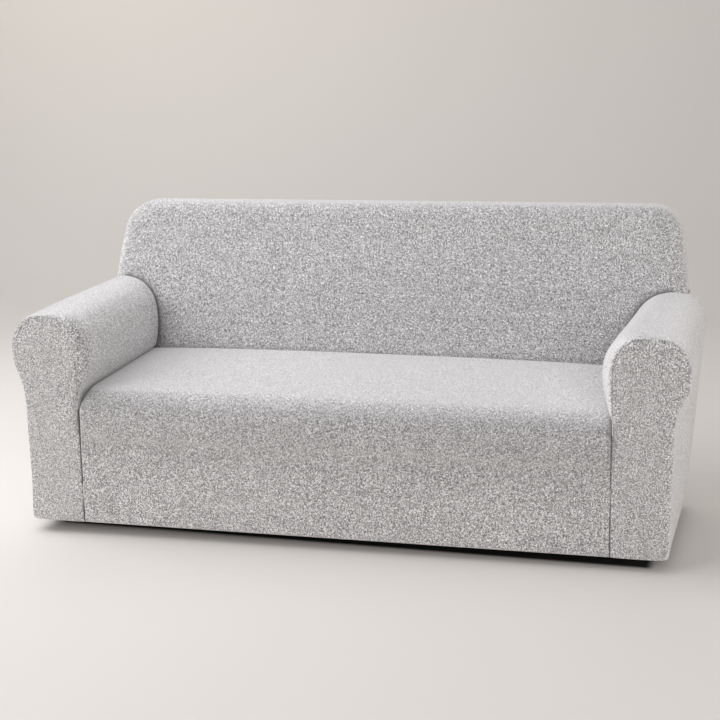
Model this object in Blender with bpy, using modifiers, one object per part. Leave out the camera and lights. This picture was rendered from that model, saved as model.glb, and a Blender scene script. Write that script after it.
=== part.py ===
"""Stretch slipcover for a three-seat sofa with rolled arms, in the shape that it has when it is fitted.

The cover is hollow and open below. It is sewn from seven cut panels:
  seat_and_front    seat, its soft front edge and the front down to the hem, in one piece
  inside_back       front, top and sides of the back, as far as the rear seam
  outside_back      rear panel, from hem to top and from arm to arm
  arm_sleeve_*      from the seat crease over the roll of the arm and down to the hem
  arm_front_*       facing on the front of each arm

x runs across, y from the arm fronts (0) to the rear and z up from the hem (0). The objects are
then moved together, so that the world origin is on the underside of the cloth on top of the
back, where the sofa carries the cover. A line of stations on an arm runs from the seat crease
over the roll and down to the hem, and is worked out for the arm at +x.
"""

import math

import bmesh
import bpy
import numpy as np
from mathutils import Vector

CLOTH = 0.002
SEAM_GAP = 0.0008

# Seat and front
SEAT_HALF_WIDTH = 0.7655
SEAT_REAR = 0.6115
SEAT_HEIGHT = 0.390
SEAT_CROWN = 0.010
SEAT_REAR_RADIUS = 0.006
FRONT_EDGE_DEPTH = 0.125
FRONT_EDGE_DROP = 0.054
CUSHION_FRONT = -0.007
CUSHION_BOTTOM = 0.262
CUSHION_STEP = 0.034
SIDE_RADIUS_FRONT = 0.015
SIDE_RADIUS_REAR = 0.007
SIDE_RADIUS_LOW = 0.003
SIDE_RADIUS_LENGTH = 0.160

# Arms
ARM_INNER = 0.7668
ROLL_HALF_WIDTH = 0.101
ROLL_RISE = 0.102
ROLL_X = ARM_INNER + ROLL_HALF_WIDTH
ROLL_Z = 0.513
ROLL_SQUARENESS = 2.3
NECK_X = 0.9285
NECK_Z = 0.400
FACING_FOOT_X = 0.918
SIDE_FOOT_X = 0.930
SIDE_WIDE_X = 0.978
SIDE_WIDE_Z = 0.500
SIDE_BOW = 0.80
SIDE_SPAN_START = 0.060
SIDE_SPAN_END = 0.450
SIDE_TAPER = 0.012
SIDE_TAPER_START = 0.500
SIDE_TAPER_LENGTH = 0.300
SIDE_TAPER_TOP = 0.520
SIDE_TAPER_FADE = 0.100
SIDE_TAPER_WIDTH = 0.050
FULL_UNTIL = 0.050
FULL_POWER = 1.15
SHOULDER_LENGTH = 0.014
SHOULDER_EASE = 1.5
SHOULDER_TURNS = np.radians([0.0, 20.0, 45.0, 68.0, 90.0])
FACING_DOME = 0.003

# The left roll is slimmer in front than the right one, and wider at its foot
LEFT_SLIM = 0.0085
LEFT_SLIM_FOOT = 0.400
LEFT_SLIM_EASE = 0.080
LEFT_FOOT = 0.0110
LEFT_FOOT_HEIGHT = 0.160
LEFT_LENGTH = 0.450

# Back
BACK_FOOT_Y = 0.613
BACK_LEAN = 0.320
BACK_CROWN = 0.014
BACK_HALF_WIDTH = 0.917
BACK_TAPER = 0.042
BACK_TAPER_START = 0.600
BACK_TOP = 0.845
BACK_SLOPE = 0.0075
BACK_SHIFT = 0.0033
BACK_SHIFT_FOOT = 0.635
BACK_SHIFT_LENGTH = 0.150
BACK_CORNER = 0.095
BACK_FRONT_EDGE = 0.040
REAR_FOOT_Y = 0.612
REAR_LEAN = 0.310
REAR_EDGE = 0.022
REAR_TURNS = np.radians([0.0, 30.0, 60.0, 90.0])
UNDER_LAP = 0.004
TUCK_BOTTOM = 0.368

# Hem, drawn in under the sofa by its elastic
HEM_HEIGHT = 0.014
HEM_TUCK = 0.010
HEM_CORNER = 0.060
HEM_ROWS = np.array([0.0, 0.003, 0.008, HEM_HEIGHT])
SIDE_ROWS = np.array([0.040, 0.100, 0.200, 0.290, 0.360])

# The sleeve stands this far outside the facing's outline, behind the facing and at the back
INNER_STATIONS = [
    # height, fullness in front, fullness at the rear
    (0.345, 0.000, 0.000),
    (0.386, 0.000, 0.000),
    (0.394, 0.003, 0.007),
    (0.404, 0.009, 0.012),
    (0.430, 0.018, 0.015),
    (0.460, 0.027, 0.015),
    (0.490, 0.032, 0.013),
]
ROLL_STATIONS = [
    # degrees round the roll from its outer side, fullness in front, fullness at the rear
    (180.0, 0.033, 0.008),
    (165.0, 0.031, 0.001),
    (150.0, 0.027, -0.005),
    (135.0, 0.024, -0.008),
    (120.0, 0.017, -0.009),
    (105.0, 0.010, -0.008),
    (90.0, 0.007, -0.005),
]
BAND_DEGREES = np.array([0.0, 22.5, 45.0, 67.5, 90.0])
BAND_FULLNESS = (0.006, -0.004)
OUTER_STATIONS = [
    (45.0, 0.006, -0.006),
    (28.0, 0.006, -0.004),
    (10.0, 0.006, 0.002),
    (-8.0, 0.006, 0.006),
    (-22.0, 0.006, 0.006),
    (-34.0, 0.006, 0.006),
]
NECK_STATIONS = 3
JUNCTION = len(INNER_STATIONS) + len(ROLL_STATIONS) + len(BAND_DEGREES) - 1

MOUNT_Z = BACK_TOP - CLOTH
MOUNT_Y = 0.830

CLOTH_COLOUR = (0.56, 0.55, 0.55, 1.0)


# --- helpers --------------------------------------------------------------------------------


def ease(t):
    """Smooth step from 0 to 1."""
    t = np.clip(t, 0.0, 1.0)
    return t * t * (3.0 - 2.0 * t)


def outward(line):
    """Unit normals on the left-hand side of a line of (x, z) points."""
    run = np.gradient(line, axis=0)
    normal = np.stack([-run[:, 1], run[:, 0]], axis=1)
    return normal / np.linalg.norm(normal, axis=1)[:, None]


def shares(line):
    """Share of a line's length at each of its points, from 0 to 1."""
    along = np.concatenate([[0.0], np.cumsum(np.linalg.norm(np.diff(line, axis=0), axis=1))])
    return along / along[-1]


def patch(bottom, top, left, right, u, v):
    """Coons patch between four lines of (x, z) points, as rows of v by columns of u."""
    u, v = u[None, :, None], v[:, None, None]
    sides = (1 - v) * bottom[None] + v * top[None] + (1 - u) * left[:, None] + u * right[:, None]
    low = (1 - u) * bottom[0] + u * bottom[-1]
    high = (1 - u) * top[0] + u * top[-1]
    return sides - (1 - v) * low - v * high


def clear_scene():
    for obj in list(bpy.data.objects):
        bpy.data.objects.remove(obj)


def cloth_material(name):
    material = bpy.data.materials.new(name)
    material.use_nodes = True
    shader = material.node_tree.nodes["Principled BSDF"]
    shader.inputs["Base Color"].default_value = CLOTH_COLOUR
    shader.inputs["Roughness"].default_value = 0.9
    shader.inputs["Metallic"].default_value = 0.0
    return material


def settle(points):
    """Moves points of any panel to where the fitted cloth comes to lie.

    The hem is drawn in along a quarter ellipse. The top of the back rises to the right and sits
    a little to the left. In front, the left roll is slimmer and its foot wider.
    """
    x, y, z = points[..., 0], points[..., 1], points[..., 2]
    low = np.clip(1 - z / HEM_HEIGHT, 0, 1)
    tuck = HEM_TUCK * (1 - np.sqrt(1 - low**2))
    in_x = -np.sign(x) * ease((np.abs(x) - FACING_FOOT_X + HEM_CORNER) / HEM_CORNER)
    in_y = ease(1 - y / HEM_CORNER) - ease(1 - (REAR_FOOT_Y - y) / HEM_CORNER)
    above = ease((z - BACK_SHIFT_FOOT) / BACK_SHIFT_LENGTH)
    lift = BACK_SLOPE * x / BACK_HALF_WIDTH * above
    slim = LEFT_SLIM * ease((z - LEFT_SLIM_FOOT) / LEFT_SLIM_EASE)
    slim = slim - LEFT_FOOT * (1 - ease(z / LEFT_FOOT_HEIGHT))
    slim = slim * ease((-x - ROLL_X) / ROLL_HALF_WIDTH) * (1 - ease(y / LEFT_LENGTH))
    return np.stack([x + in_x * tuck - BACK_SHIFT * above + slim, y + in_y * tuck, z + lift], axis=-1)


def sheet(name, grids, inside, collection):
    """One cloth panel: grids of points[row, column] welded where they share an edge.

    Its thickness is laid on the side of the point that is given as inside.
    """
    bm = bmesh.new()
    for points in grids:
        rows, columns = points.shape[:2]
        grid = bmesh.ops.create_grid(bm, x_segments=columns - 1, y_segments=rows - 1, size=1)
        for vert, point in zip(grid["verts"], settle(points).reshape(-1, 3)):
            vert.co = point
    bmesh.ops.remove_doubles(bm, verts=bm.verts, dist=1e-6)
    bmesh.ops.recalc_face_normals(bm, faces=bm.faces)
    bm.normal_update()
    inside = Vector(inside)
    if sum(face.calc_area() * face.normal.dot(face.calc_center_median() - inside) for face in bm.faces) < 0:
        bmesh.ops.reverse_faces(bm, faces=bm.faces)
    mesh = bpy.data.meshes.new(name)
    bm.to_mesh(mesh)
    bm.free()
    mesh.shade_smooth()
    mesh.materials.append(cloth_material(name))
    obj = bpy.data.objects.new(name, mesh)
    obj.location = (0.0, -MOUNT_Y, -MOUNT_Z)
    collection.objects.link(obj)
    solidify = obj.modifiers.new("Cloth thickness", "SOLIDIFY")
    solidify.thickness = CLOTH
    solidify.offset = -1.0
    return obj


# --- seat and front -------------------------------------------------------------------------


def seat_profile():
    """Rows of (y, z, side radius) from the rear crease over the seat and down the front.

    The front edge is a quarter of an ellipse, much deeper than it is high.
    """
    rear, depth, drop = SEAT_REAR_RADIUS, FRONT_EDGE_DEPTH, FRONT_EDGE_DROP
    turn = np.radians(np.linspace(0, 90, 5))
    rows = [(SEAT_REAR - rear + rear * math.cos(t), SEAT_HEIGHT - rear + rear * math.sin(t)) for t in turn]
    for y in np.linspace(SEAT_REAR - rear, CUSHION_FRONT + depth, 7)[1:-1]:
        rows.append((y, SEAT_HEIGHT))
    for t in np.radians(np.linspace(90, 180, 9)):
        rows.append((CUSHION_FRONT + depth * (1 + math.cos(t)), SEAT_HEIGHT - drop * (1 - math.sin(t))))
    for z in (0.300, 0.280, 0.266, 0.254, 0.240, 0.180, 0.100, 0.040, *HEM_ROWS[::-1]):
        rows.append((CUSHION_FRONT * (1 - float(under_cushion(z))), z))
    line = np.array(rows)
    front = ease(1 - line[:, :1] / SIDE_RADIUS_LENGTH)
    radius = SIDE_RADIUS_REAR + (SIDE_RADIUS_FRONT - SIDE_RADIUS_REAR) * front
    radius = radius + (SIDE_RADIUS_LOW - radius) * under_cushion(line[:, 1:])
    return line, radius


def under_cushion(z):
    """0 on the cushion's front, 1 below it, where the front steps back."""
    return ease((CUSHION_BOTTOM + CUSHION_STEP / 2 - z) / CUSHION_STEP)


def seat_and_front(collection):
    line, radius = seat_profile()
    normal = -outward(line)
    turn = np.radians(np.linspace(0, 90, 5))
    flat = np.array([0.690, 0.590, 0.450, 0.300, 0.150, 0.0])
    side_x = SEAT_HALF_WIDTH - radius * (1 - np.cos(turn))
    side_drop = radius * (1 - np.sin(turn))
    right = np.hstack([side_x, np.tile(flat, (len(line), 1))])
    drop = np.hstack([side_drop, np.zeros((len(line), len(flat)))])
    x = np.hstack([-right, right[:, -2::-1]])
    drop = np.hstack([drop, drop[:, -2::-1]])

    # Fullness of the seat, which is gone at its sides and its front
    over = np.clip((SEAT_REAR - line[:, :1]) / SEAT_REAR, 0, 1)
    on_seat = ease((line[:, 1:] - SEAT_HEIGHT + FRONT_EDGE_DROP) / 0.020)
    crown = SEAT_CROWN * (1 - over**3) * on_seat * (1 - (np.abs(x) / SEAT_HALF_WIDTH) ** 3)
    y = line[:, :1] - normal[:, :1] * drop
    z = line[:, 1:] - normal[:, 1:] * drop + crown
    return sheet("seat_and_front", [np.stack([x, y, z], axis=2)], (0, 0.30, 0.10), collection)


# --- back -----------------------------------------------------------------------------------


def back_front(x, z):
    """y of the front of the back, which leans and is a little full in the middle."""
    full = np.clip(1 - (x / BACK_HALF_WIDTH) ** 4, 0, 1)
    rise = np.clip((z - SEAT_HEIGHT) / (BACK_TOP - SEAT_HEIGHT), 0, 1)
    crown = BACK_CROWN * full * np.sin(math.pi * rise) ** 2
    return BACK_FOOT_Y + BACK_LEAN * np.maximum(z - SEAT_HEIGHT, 0.0) - crown


def back_rear(z):
    """y of the rear panel, which leans as the front of the back does."""
    return REAR_FOOT_Y + REAR_LEAN * z


def back_side_x(z):
    rise = np.clip((z - BACK_TAPER_START) / (BACK_TOP - BACK_TAPER_START), 0, 1)
    return BACK_HALF_WIDTH - BACK_TAPER * rise**1.6


def back_side(foot_z, inset):
    """Stations up the back's side and round the first half of its top corner."""
    radius = BACK_CORNER - inset
    centre_z = BACK_TOP - BACK_CORNER
    side_z = foot_z + (centre_z - foot_z) * np.linspace(0, 1, 5)
    side = np.stack([back_side_x(side_z) - inset, side_z], axis=1)
    angle = np.radians(np.array([15.0, 30.0, 45.0]))
    centre_x = back_side_x(centre_z) - BACK_CORNER
    arc = np.stack([centre_x + radius * np.cos(angle), centre_z + radius * np.sin(angle)], axis=1)
    return np.vstack([side, arc])


def back_top(inset):
    """Stations along the back's top, from the middle of its left corner to that of its right one."""
    radius = BACK_CORNER - inset
    centre_z = BACK_TOP - BACK_CORNER
    centre_x = back_side_x(centre_z) - BACK_CORNER
    angle = np.radians(np.array([90.0, 75.0, 60.0, 45.0]))
    arc = np.stack([centre_x + radius * np.cos(angle), centre_z + radius * np.sin(angle)], axis=1)
    flat_x = np.linspace(0, centre_x, 6)[:-1]
    half = np.vstack([np.stack([flat_x, np.full(5, BACK_TOP - inset)], axis=1), arc])
    return np.vstack([(half * [-1, 1])[:0:-1], half])


def inside_back(collection):
    edge = BACK_FRONT_EDGE
    section = rear_section()
    under = section - outward(section) * UNDER_LAP
    arm = under[: len(INNER_STATIONS) + len(ROLL_STATIONS)]
    foot = foot_height(BACK_HALF_WIDTH - edge, section) - UNDER_LAP
    arm_end = [BACK_HALF_WIDTH - edge, foot]
    arm = np.vstack([[arm[0, 0], TUCK_BOTTOM], arm[1:], arm_end])
    arm[:, 0] = np.maximum(arm[:, 0], ARM_INNER + UNDER_LAP)
    seat = np.stack([[0.0, 0.15, 0.30, 0.44, 0.58, 0.70], [TUCK_BOTTOM] * 6], axis=1)
    half = np.vstack([seat, arm])
    bottom = np.vstack([(half * [-1, 1])[:0:-1], half])
    right = back_side(foot, edge)
    left = right * [-1, 1]

    # The top has one station for each station of the bottom
    corner = back_top(edge)
    u = shares(bottom)
    top = np.stack([np.interp(u, shares(corner), corner[:, k]) for k in range(2)], axis=1)
    v = (right[:, 1] - foot) / (right[-1, 1] - foot)
    face = patch(bottom, top, left, right, u, v)
    face = np.stack([face[..., 0], back_front(face[..., 0], face[..., 1]), face[..., 1]], axis=2)

    # Rings from the face round its soft edge, over the side and top to the rear seam
    rim = np.concatenate([face[:, -1], face[-1, -2:0:-1], face[::-1, 0]])
    rings = [rim]
    for turn in np.radians(BAND_DEGREES[1:]):
        ring = back_ring(edge * (1 - math.sin(turn)), section, u, UNDER_LAP)
        y = rim[:, 1] + BACK_LEAN * (ring[:, 1] - rim[:, 2]) + edge * (1 - math.cos(turn))
        rings.append(np.stack([ring[:, 0], y, ring[:, 1]], axis=1))
    for turn in REAR_TURNS:
        # Its lower ends follow the sleeves, which turn down there
        inset = REAR_EDGE * (1 - math.cos(turn))
        ring = back_ring(inset, section, u, inset - 2 * SEAM_GAP)
        y = back_rear(ring[:, 1]) - REAR_EDGE * (1 - math.sin(turn))
        rings.append(np.stack([ring[:, 0], y, ring[:, 1]], axis=1))
    wrap = np.array(rings)
    return sheet("inside_back", [face, wrap], (0, 0.80, 0.50), collection)


def back_ring(inset, section, u, under_lap):
    """Outline of the back from the right arm over the top to the left arm."""
    x = BACK_HALF_WIDTH - inset
    right = back_side(foot_height(x, section) - under_lap, inset)
    corner = back_top(inset)
    top = np.stack([np.interp(u, shares(corner), corner[:, k]) for k in range(2)], axis=1)
    return np.vstack([right, top[-2:0:-1], (right * [-1, 1])[::-1]])


def foot_height(x, section):
    """Height of the roll at x, where the back's side meets it."""
    top = section[len(INNER_STATIONS) + 3 : JUNCTION + 2]
    return float(np.interp(x, top[:, 0], top[:, 1]))


# --- arms -----------------------------------------------------------------------------------


def roll_point(degrees):
    """(x, z) on the roll's outline."""
    a = np.radians(degrees)
    c, s = np.cos(a), np.sin(a)
    power = 2 / ROLL_SQUARENESS
    x = ROLL_X + ROLL_HALF_WIDTH * np.sign(c) * np.abs(c) ** power
    z = ROLL_Z + ROLL_RISE * np.sign(s) * np.abs(s) ** power
    return np.stack([x, z], axis=-1)


def roll_over(x):
    """(x, z) on the top of the roll's outline at x."""
    part = np.abs(x - ROLL_X) / ROLL_HALF_WIDTH
    return np.stack([x, ROLL_Z + ROLL_RISE * (1 - part**ROLL_SQUARENESS) ** (1 / ROLL_SQUARENESS)], axis=-1)


def band_x():
    """x of the stations that pass round the front edge of the back's side."""
    reach = BACK_FRONT_EDGE * (1 - np.sin(np.radians(BAND_DEGREES)))
    return BACK_HALF_WIDTH - reach + SEAM_GAP + 0.7 * CLOTH


def arm_outline():
    """Stations of the facing's seam."""
    inner = np.array([(ARM_INNER, z) for z, _, _ in INNER_STATIONS])
    roll = roll_point(np.array([row[0] for row in ROLL_STATIONS]))
    band = roll_over(band_x())
    outer = roll_point(np.array([row[0] for row in OUTER_STATIONS]))
    side_z = np.concatenate([SIDE_ROWS[::-1], HEM_ROWS[::-1]])
    side_x = FACING_FOOT_X + (NECK_X - FACING_FOOT_X) * (side_z / NECK_Z) ** 0.6
    side = np.stack([side_x, side_z], axis=1)

    # The neck under the roll is a cubic curve
    start, end = outer[-1], side[0]
    pull_start = start + (start - outer[-2]) * 1.2
    pull_end = np.array([NECK_X, NECK_Z + 0.012])
    t = np.linspace(0, 1, NECK_STATIONS + 2)[1:-1, None]
    neck = (1 - t) ** 3 * start + 3 * t * (1 - t) ** 2 * pull_start
    neck = neck + 3 * t**2 * (1 - t) * pull_end + t**3 * end
    return np.vstack([inner, roll, band, outer, neck, side])


def arm_section(y):
    """Stations of the sleeve at y, which is one number or a number for each station."""
    outline = arm_outline()
    y = np.broadcast_to(np.asarray(y, float), (len(outline),))
    band = [(0.0, *BAND_FULLNESS)] * len(BAND_DEGREES)
    table = np.array(INNER_STATIONS + ROLL_STATIONS + band + OUTER_STATIONS)
    rear_share = (y[: len(table)] - FULL_UNTIL) / (BACK_FOOT_Y - FULL_UNTIL)
    rear_share = np.clip(rear_share, 0, 1) ** FULL_POWER
    full = table[:, 1] * (1 - rear_share) + table[:, 2] * rear_share
    rest = len(outline) - len(table)
    full = np.concatenate([full, np.full(rest, OUTER_STATIONS[-1][1])])
    section = outline + outward(outline) * full[:, None]
    first = JUNCTION + 1 - len(BAND_DEGREES)
    section[first : JUNCTION + 1, 0] = outline[first : JUNCTION + 1, 0]

    # The stretched cloth leaves the facing's neck and runs straight from the roll to the hem
    z = section[:, 1]
    bow = SIDE_FOOT_X + (SIDE_WIDE_X - SIDE_FOOT_X) * np.clip(z / SIDE_WIDE_Z, 0, 1) ** SIDE_BOW
    span = ease((y - SIDE_SPAN_START) / (SIDE_SPAN_END - SIDE_SPAN_START))
    low = np.arange(len(outline)) > JUNCTION + 3
    section[low, 0] += np.maximum(bow - section[:, 0], 0.0)[low] * span[low]

    # Below the roll the side draws in towards the rear
    taper = ease((y - SIDE_TAPER_START) / SIDE_TAPER_LENGTH) * ease((SIDE_TAPER_TOP - z) / SIDE_TAPER_FADE)
    section[:, 0] -= SIDE_TAPER * taper * ease((section[:, 0] - BACK_HALF_WIDTH) / SIDE_TAPER_WIDTH)
    return section


def rear_section():
    return arm_section(BACK_FOOT_Y + BACK_LEAN * (ROLL_Z - SEAT_HEIGHT))


def sleeve_end(section):
    """y where the sleeve stops in front of the back; below the back's side that line leans with the rear."""
    y = back_front(section[:, 0], section[:, 1])
    first = JUNCTION + 1 - len(BAND_DEGREES)
    y[first : JUNCTION + 1] += BACK_FRONT_EDGE * (1 - np.cos(np.radians(BAND_DEGREES)))
    y = y - 1.5 * SEAM_GAP - CLOTH * BACK_LEAN
    y[JUNCTION:] = y[JUNCTION] - REAR_LEAN * (section[JUNCTION, 1] - section[JUNCTION:, 1])
    return y


def shoulder_size(outline):
    """Fullness of the sleeve's front edge at each station, and how far back it takes to reach it."""
    out = np.linalg.norm(arm_section(0.0) - outline, axis=1)
    return out, SHOULDER_LENGTH + SHOULDER_EASE * out


def arm_sleeve(side, name, collection):
    outline = arm_outline()
    end = sleeve_end(rear_section())

    # The front edge turns from the facing's seam into the fullness of the sleeve
    rows = []
    _, shoulder = shoulder_size(outline)
    for turn in SHOULDER_TURNS:
        y = shoulder * (1 - math.cos(turn))
        rows.append((outline + (arm_section(y) - outline) * math.sin(turn), y))
    for share in (0.16, 0.36, 0.57, 0.78, 1.0):
        y = shoulder + (end - shoulder) * share
        rows.append((arm_section(y), y))
    over = np.array([np.stack([line[:, 0], y, line[:, 1]], axis=1) for line, y in rows])

    # Behind that only the outer part goes on, beside the back and round the rear edge
    rows = []
    for share, turn in [(0.0, 0.0), (0.5, 0.0)] + [(1.0, turn) for turn in REAR_TURNS]:
        line, y = rear_line(end, share, turn)
        rows.append(np.stack([line[:, 0], y, line[:, 1]], axis=1)[JUNCTION:])
    beside = np.array(rows)
    beside[0] = over[-1, JUNCTION:]
    grids = [points * [side, 1, 1] for points in (over, beside)]
    return sheet(name, grids, (0.86 * side, 0.40, 0.30), collection)


def rear_line(end, share, turn):
    """The sleeve's stations beside the back, and their y."""
    line = arm_section(end)
    rear = back_rear(line[:, 1])
    y = end + (rear - REAR_EDGE - end) * share + REAR_EDGE * math.sin(turn)
    inset = REAR_EDGE * (1 - math.cos(turn))
    line = arm_section(y)
    junction_x = line[JUNCTION, 0] - inset + 3 * SEAM_GAP * math.sin(turn)
    line = line - outward(line) * inset
    line[JUNCTION] = [junction_x, foot_height(junction_x, line)]
    return line, y


def arm_front(side, name, collection):
    outline = arm_outline()

    # The facing clears the cloth of the sleeve's first row, which turns back by this slope
    out, shoulder = shoulder_size(outline)
    back = shoulder * (1 - math.cos(SHOULDER_TURNS[1]))
    inset = SEAM_GAP + CLOTH * back / np.hypot(out * math.sin(SHOULDER_TURNS[1]), back)
    edge = outline - outward(outline) * inset[:, None]

    # Corners of the patch are on the two shoulders of the roll
    left_corner = len(INNER_STATIONS) + 2
    right_corner = JUNCTION + 2
    low_z = np.array([*HEM_ROWS, 0.050, 0.150, 0.260])
    low = np.stack([np.full(len(low_z), ARM_INNER + 0.0002), low_z], axis=1)
    left = np.vstack([low, edge[: left_corner + 1]])
    top = edge[left_corner : right_corner + 1]
    right = edge[right_corner:][::-1]
    u = shares(top)
    bottom = left[0] + (right[0] - left[0]) * u[:, None]
    v = shares(left)
    face = patch(bottom, top, left, right, u, v)
    dome = (1 - (2 * u[None] - 1) ** 4) * (1 - (2 * v[:, None] - 1) ** 6)
    points = np.stack([face[..., 0], -FACING_DOME * dome, face[..., 1]], axis=2) * [side, 1, 1]
    return sheet(name, [points], (0.86 * side, 0.40, 0.30), collection)


# --- rear panel -----------------------------------------------------------------------------


def outside_back(collection):
    end = sleeve_end(rear_section())
    line, _ = rear_line(end, 1.0, math.pi / 2)
    arm = (line - outward(line) * 2 * SEAM_GAP)[JUNCTION:][::-1]
    inset = REAR_EDGE + 3 * SEAM_GAP
    arm[-1] = [BACK_HALF_WIDTH - inset, line[JUNCTION, 1] - 2 * SEAM_GAP]
    side = back_side(arm[-1, 1], inset)[1:]
    right = np.vstack([arm, side])
    top = back_top(inset)
    u = shares(top)
    left = right * [-1, 1]
    bottom = left[0] + (right[0] - left[0]) * u[:, None]
    v = shares(right)
    face = patch(bottom, top, left, right, u, v)
    points = np.stack([face[..., 0], back_rear(face[..., 1]), face[..., 1]], axis=2)
    return sheet("outside_back", [points], (0, 0.50, 0.40), collection)


def main():
    clear_scene()
    collection = bpy.data.collections.new("Sofa slipcover")
    bpy.context.scene.collection.children.link(collection)
    seat_and_front(collection)
    inside_back(collection)
    outside_back(collection)
    for side, place in ((-1, "left"), (1, "right")):
        arm_sleeve(side, f"arm_sleeve_{place}", collection)
        arm_front(side, f"arm_front_{place}", collection)


main()
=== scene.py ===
# Looks of a stretch slipcover for a three-seat sofa with rolled arms.
# Lengths are metres. Panels are worked out from the arm fronts (y 0) and the hem (z 0), for the
# arm at +x, and are then moved to where the frame holds them.
import math

import bmesh
import bpy
import numpy as np
from mathutils import Matrix, Vector


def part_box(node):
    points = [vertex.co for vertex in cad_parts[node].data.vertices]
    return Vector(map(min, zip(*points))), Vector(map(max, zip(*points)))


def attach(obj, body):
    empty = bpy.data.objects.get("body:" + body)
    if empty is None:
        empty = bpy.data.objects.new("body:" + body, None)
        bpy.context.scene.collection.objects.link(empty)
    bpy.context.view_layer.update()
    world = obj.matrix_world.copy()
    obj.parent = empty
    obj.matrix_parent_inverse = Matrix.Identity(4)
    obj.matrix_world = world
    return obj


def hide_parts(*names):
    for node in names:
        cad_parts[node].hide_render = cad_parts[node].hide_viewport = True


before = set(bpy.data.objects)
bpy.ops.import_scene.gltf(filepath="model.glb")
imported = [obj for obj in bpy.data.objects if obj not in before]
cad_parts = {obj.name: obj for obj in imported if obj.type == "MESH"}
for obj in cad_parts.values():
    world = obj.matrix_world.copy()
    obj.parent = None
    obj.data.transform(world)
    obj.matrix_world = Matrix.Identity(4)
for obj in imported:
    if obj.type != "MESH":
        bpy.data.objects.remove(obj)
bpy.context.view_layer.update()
place = np.array([0.0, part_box("arm_sleeve_left")[0][1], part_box("seat_and_front")[0][2]])

cloth = {
    "thickness": 0.0016,
    "gap": 0.0008,            # half of the way between two panels at a seam
    "cell": 0.0075,           # size of a face away from the seams
    "pinchDepth": 0.0014,     # a sewn edge is drawn in this far by its stitches
    "pinchWidth": 0.0055,
    "seamSteps": [0.0, 0.0007, 0.0016, 0.0028, 0.0044, 0.0066, 0.0100],
    # Waves of its slow unevenness: radians for each metre in two directions, and size
    "waves": [
        (7.1, 2.3, 1.0),
        (-3.9, 8.7, 0.8),
        (12.7, 6.1, 0.55),
        (-10.3, 15.1, 0.35),
        (21.0, -13.0, 0.22),
    ],
    "waveTurn": 2.1,
    "seedTurn": 1.7,
}


def ease(t):
    t = np.clip(t, 0.0, 1.0)
    return t * t * (3.0 - 2.0 * t)  # smooth step from 0 to 1


def rising(value, low, high):
    return ease((value - low) / (high - low))  # 0 up to low, 1 from high on


def blend(pair, share):
    return pair[0] + (pair[1] - pair[0]) * share  # from the first to the second


def together(*columns):
    # Columns of numbers side by side, a row for each point. A lone number fills its column.
    return np.stack(np.broadcast_arrays(*columns), axis=-1)


def lengths(line):
    # Length run along a line at each of its points
    return np.concatenate([[0.0], np.cumsum(np.linalg.norm(np.diff(line, axis=0), axis=-1))])


def shares(line):
    # The same as shares of the whole length
    return lengths(line) / lengths(line)[-1]


def resample(line, share):
    # Points of a line at shares of its length
    own = shares(line)
    return together(*[np.interp(share, own, column) for column in line.T])


def mirrored(half):
    # A line from x 0 on, with its mirror image before it
    return np.vstack([(half * [-1, 1])[:0:-1], half])


def gridRuns(points):
    # Length run down each column of a grid
    run = np.linalg.norm(np.diff(points, axis=0), axis=2)
    return np.concatenate([np.zeros((1, points.shape[1])), np.cumsum(run, axis=0)])


def quarter(count):
    # Angles from 0 to 90 degrees
    return np.radians(np.linspace(0, 90, count))


def outward(line):
    # Unit normals on the left-hand side of a line of (x, z) points: the run, turned a quarter
    run = np.gradient(line, axis=0)
    normal = together(-run[:, 1], run[:, 0])
    return normal / np.linalg.norm(normal, axis=1)[:, None]


def spline(knots, rows, at):
    # Cubic through the rows. The slope at a knot leans to the side where the line bends least,
    # so straight runs stay straight beside tight bends.
    span = np.diff(knots)[:, None]
    slope = np.diff(rows, axis=0) / span
    slope = np.vstack([3 * slope[:1] - 2 * slope[1:2], 2 * slope[:1] - slope[1:2], slope])
    slope = np.vstack([slope, 2 * slope[-1:] - slope[-2:-1], 3 * slope[-1:] - 2 * slope[-2:-1]])
    bend = np.abs(np.diff(slope, axis=0)) + 0.5 * np.abs(slope[1:] + slope[:-1]) + 1e-12
    tangent = (bend[2:] * slope[1:-2] + bend[:-2] * slope[2:-1]) / (bend[2:] + bend[:-2])
    i = np.clip(np.searchsorted(knots, at, side="right") - 1, 0, len(knots) - 2)
    t = ((at - knots[i]) / span[i, 0])[:, None]
    h = span[i]
    start = (1 + 2 * t) * (1 - t) ** 2 * rows[i] + t * (1 - t) ** 2 * h * tangent[i]
    return start + t**2 * (3 - 2 * t) * rows[i + 1] - t**2 * (1 - t) * h * tangent[i + 1]


def steps(length, cell=cloth["cell"], first=True, last=True):
    # Places from 0 to the length: close together beside a sewn edge, about a cell apart between
    near = np.array(cloth["seamSteps"])
    start = near if first else near[:1]
    end = length - (near if last else near[:1])[::-1]
    count = max(int(math.ceil((end[0] - start[-1]) / cell)), 1)
    return np.concatenate([start, np.linspace(start[-1], end[0], count + 1)[1:-1], end])


def patch(bottom, top, left, right, u, v):
    # Surface between four lines: the two blends of opposite sides less the blend of the corners
    u, v = u[None, :, None], v[:, None, None]
    sides = (1 - v) * bottom[None] + v * top[None] + (1 - u) * left[:, None] + u * right[:, None]
    low = (1 - u) * bottom[0] + u * bottom[-1]
    high = (1 - u) * top[0] + u * top[-1]
    return sides - (1 - v) * low - v * high


def normals(points):
    # Cross product of the two directions of a grid at each of its points
    cross = np.cross(np.gradient(points, axis=1), np.gradient(points, axis=0))
    return cross / np.maximum(np.linalg.norm(cross, axis=2), 1e-12)[..., None]


def fall(distance, width):
    # 1 at the edge, 0 from the width on, as a quarter of a circle
    part = np.clip(1 - distance / width, 0, 1)
    return 1 - np.sqrt(1 - part**2)


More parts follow.
